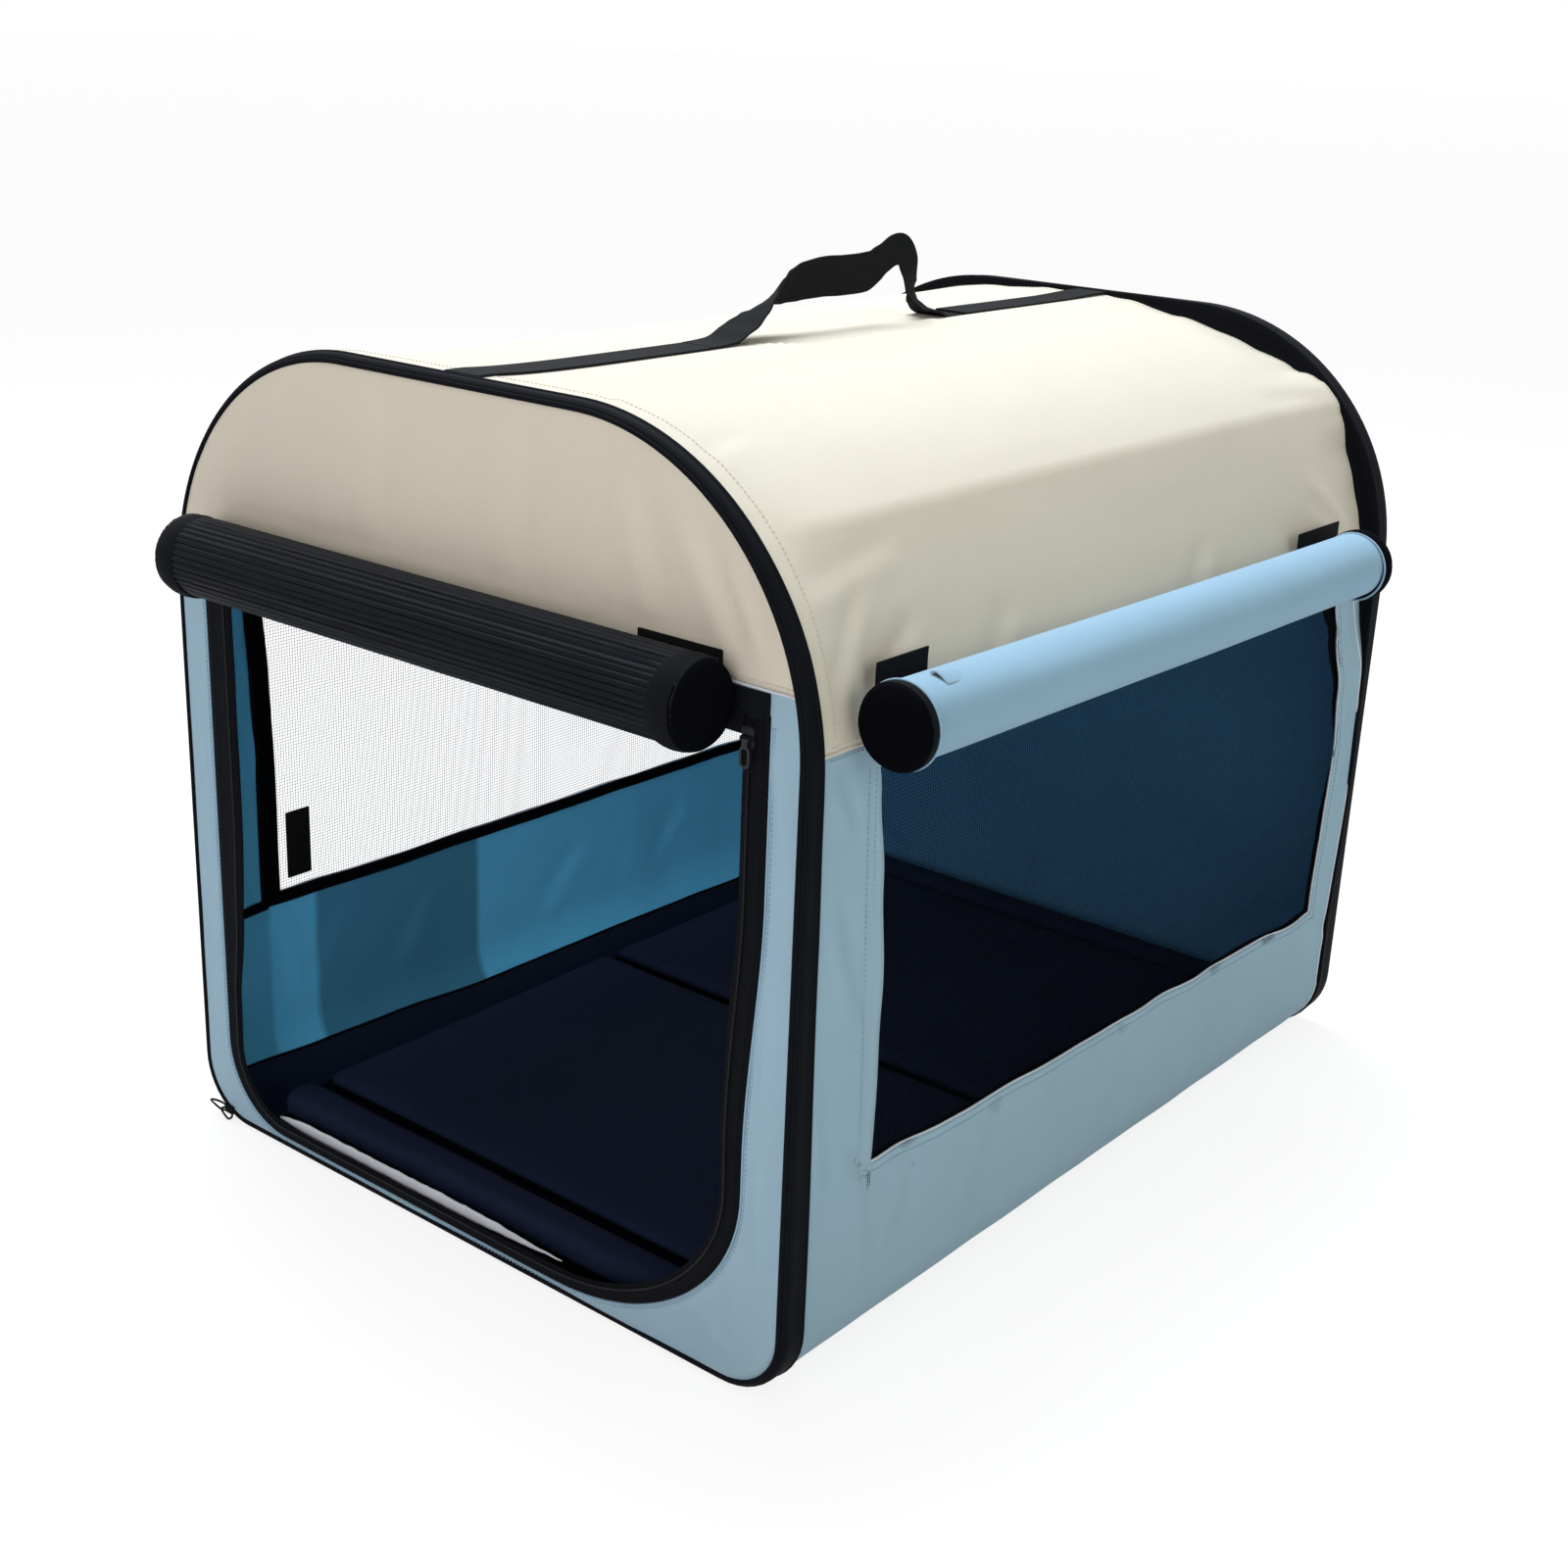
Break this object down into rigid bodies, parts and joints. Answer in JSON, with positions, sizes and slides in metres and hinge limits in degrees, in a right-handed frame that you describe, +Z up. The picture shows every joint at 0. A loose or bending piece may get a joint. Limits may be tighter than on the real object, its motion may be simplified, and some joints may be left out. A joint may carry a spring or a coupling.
{
  "type": "soft pet crate",
  "caption": "Folding soft pet crate: steel hoops, hinged base and spreader bars, sewn fabric skin, mesh windows, rolled door and covers, webbing carry handle.",
  "frame": {"origin": "centre of the crate's underside, halfway between the front and rear walls, on the floor", "axes": "+Z up, -Y out of the door, +X to the right of someone who looks in at the door"},
  "size_m": [0.6932, 0.8199, 0.6633],
  "materials": {
    "steel": "black powder coat",
    "cream_fabric": "woven polyester",
    "blue_fabric": "woven polyester",
    "bright_blue_fabric": "woven polyester",
    "black_fabric": "polyester webbing and binding",
    "net": "knitted net",
    "board": "hollow plastic sheet",
    "mat": "short pile",
    "plastic": "moulded"
  },
  "bodies": {
    "front_frame": {"front_hoop": "steel", "base_rod_front": "steel", "spreader_pin_front_left": "steel", "spreader_pin_front_right": "steel", "front_wall_upper": "cream_fabric", "front_wall_lower": "blue_fabric", "front_edge_band": "black_fabric", "door_zip_tape": "black_fabric", "door_roll": "net", "door_strap_left": "black_fabric", "door_strap_right": "black_fabric", "corner_pull": "black_fabric", "roof_panel": "cream_fabric", "floor_panel": "black_fabric", "left_wall": "blue_fabric", "right_wall": "blue_fabric", "left_window_mesh": "net", "right_window_mesh": "net", "left_window_binding": "black_fabric", "right_window_binding": "black_fabric", "window_tab": "black_fabric", "left_cover_roll": "bright_blue_fabric", "right_cover_roll": "bright_blue_fabric", "left_cover_strap_front": "black_fabric", "left_cover_strap_rear": "black_fabric", "right_cover_strap_front": "black_fabric", "right_cover_strap_rear": "black_fabric", "roof_webbing_front": "black_fabric", "roof_webbing_rear": "black_fabric", "carry_handle": "black_fabric", "mat_margin_front": "mat"},
    "base_front": {"base_rail_front_left": "steel", "base_rail_front_right": "steel", "base_rod_middle": "steel", "base_board_front": "board", "mat_front": "mat"},
    "base_rear": {"base_rail_rear_left": "steel", "base_rail_rear_right": "steel", "base_board_rear": "board", "mat_rear": "mat"},
    "rear_frame": {"rear_hoop": "steel", "base_rod_rear": "steel", "spreader_pin_rear_left": "steel", "spreader_pin_rear_right": "steel", "rear_wall_upper": "cream_fabric", "rear_wall_lower": "blue_fabric", "rear_edge_band": "black_fabric", "mat_margin_rear": "mat"},
    "spreader_front": {"spreader_front_left": "steel", "spreader_front_right": "steel", "spreader_pin_elbow_left": "steel", "spreader_pin_elbow_right": "steel"},
    "spreader_rear": {"spreader_rear_left": "steel", "spreader_rear_right": "steel"},
    "elbow_button_left": {"elbow_button_left": "plastic"},
    "elbow_button_right": {"elbow_button_right": "plastic"},
    "door_zip_slider": {"door_zip_slider": "steel"},
    "door_zip_pull": {"door_zip_pull": "steel"}
  },
  "joints": [
    {"name": "base_front_fold", "type": "hinge", "parent": "front_frame", "child": "base_front", "pos_m": [0, -0.331, 0.0065], "axis": [1, 0, 0], "range_deg": [0, 84], "deforming": ["roof_panel", "floor_panel", "left_wall", "right_wall", "left_window_mesh", "right_window_mesh", "left_window_binding", "right_window_binding", "window_tab", "left_cover_roll", "right_cover_roll", "left_cover_strap_front", "left_cover_strap_rear", "right_cover_strap_front", "right_cover_strap_rear", "roof_webbing_front", "roof_webbing_rear", "carry_handle", "mat_margin_front", "mat_margin_rear"]},
    {"name": "base_mid_fold", "type": "hinge", "parent": "base_front", "child": "base_rear", "pos_m": [0, 0, 0.0065], "axis": [1, 0, 0], "range_deg": [-168, 0]},
    {"name": "rear_frame_fold", "type": "hinge", "parent": "base_rear", "child": "rear_frame", "pos_m": [0, 0.331, 0.0065], "axis": [1, 0, 0], "range_deg": [0, 84]},
    {"name": "spreader_front_fold", "type": "hinge", "parent": "front_frame", "child": "spreader_front", "pos_m": [0, -0.331, 0.5495], "axis": [1, 0, 0], "range_deg": [-84, 0]},
    {"name": "spreader_rear_fold", "type": "hinge", "parent": "rear_frame", "child": "spreader_rear", "pos_m": [0, 0.331, 0.5495], "axis": [1, 0, 0], "range_deg": [0, 84]},
    {"name": "elbow_button_slide_left", "type": "slide", "parent": "spreader_front", "child": "elbow_button_left", "axis": [1, 0, 0], "range_m": [0, 0.0025], "stiffness_N_per_m": 600, "springref_m": -0.004},
    {"name": "elbow_button_slide_right", "type": "slide", "parent": "spreader_front", "child": "elbow_button_right", "axis": [-1, 0, 0], "range_m": [0, 0.0025], "stiffness_N_per_m": 600, "springref_m": -0.004},
    {"name": "door_zip_slide", "type": "slide", "parent": "front_frame", "child": "door_zip_slider", "axis": [0, 0, -1], "range_m": [0, 0.325]},
    {"name": "zip_pull_swing", "type": "hinge", "parent": "door_zip_slider", "child": "door_zip_pull", "pos_m": [0.2497, -0.3866, 0.44], "axis": [-1, 0, 0], "range_deg": [0, 150]}
  ],
  "couplings": [
    {"joint": "base_mid_fold", "follows": "base_front_fold", "ratio": -2},
    {"joint": "rear_frame_fold", "follows": "base_front_fold", "ratio": 1},
    {"joint": "spreader_front_fold", "follows": "base_front_fold", "ratio": -1},
    {"joint": "spreader_rear_fold", "follows": "base_front_fold", "ratio": 1}
  ]
}
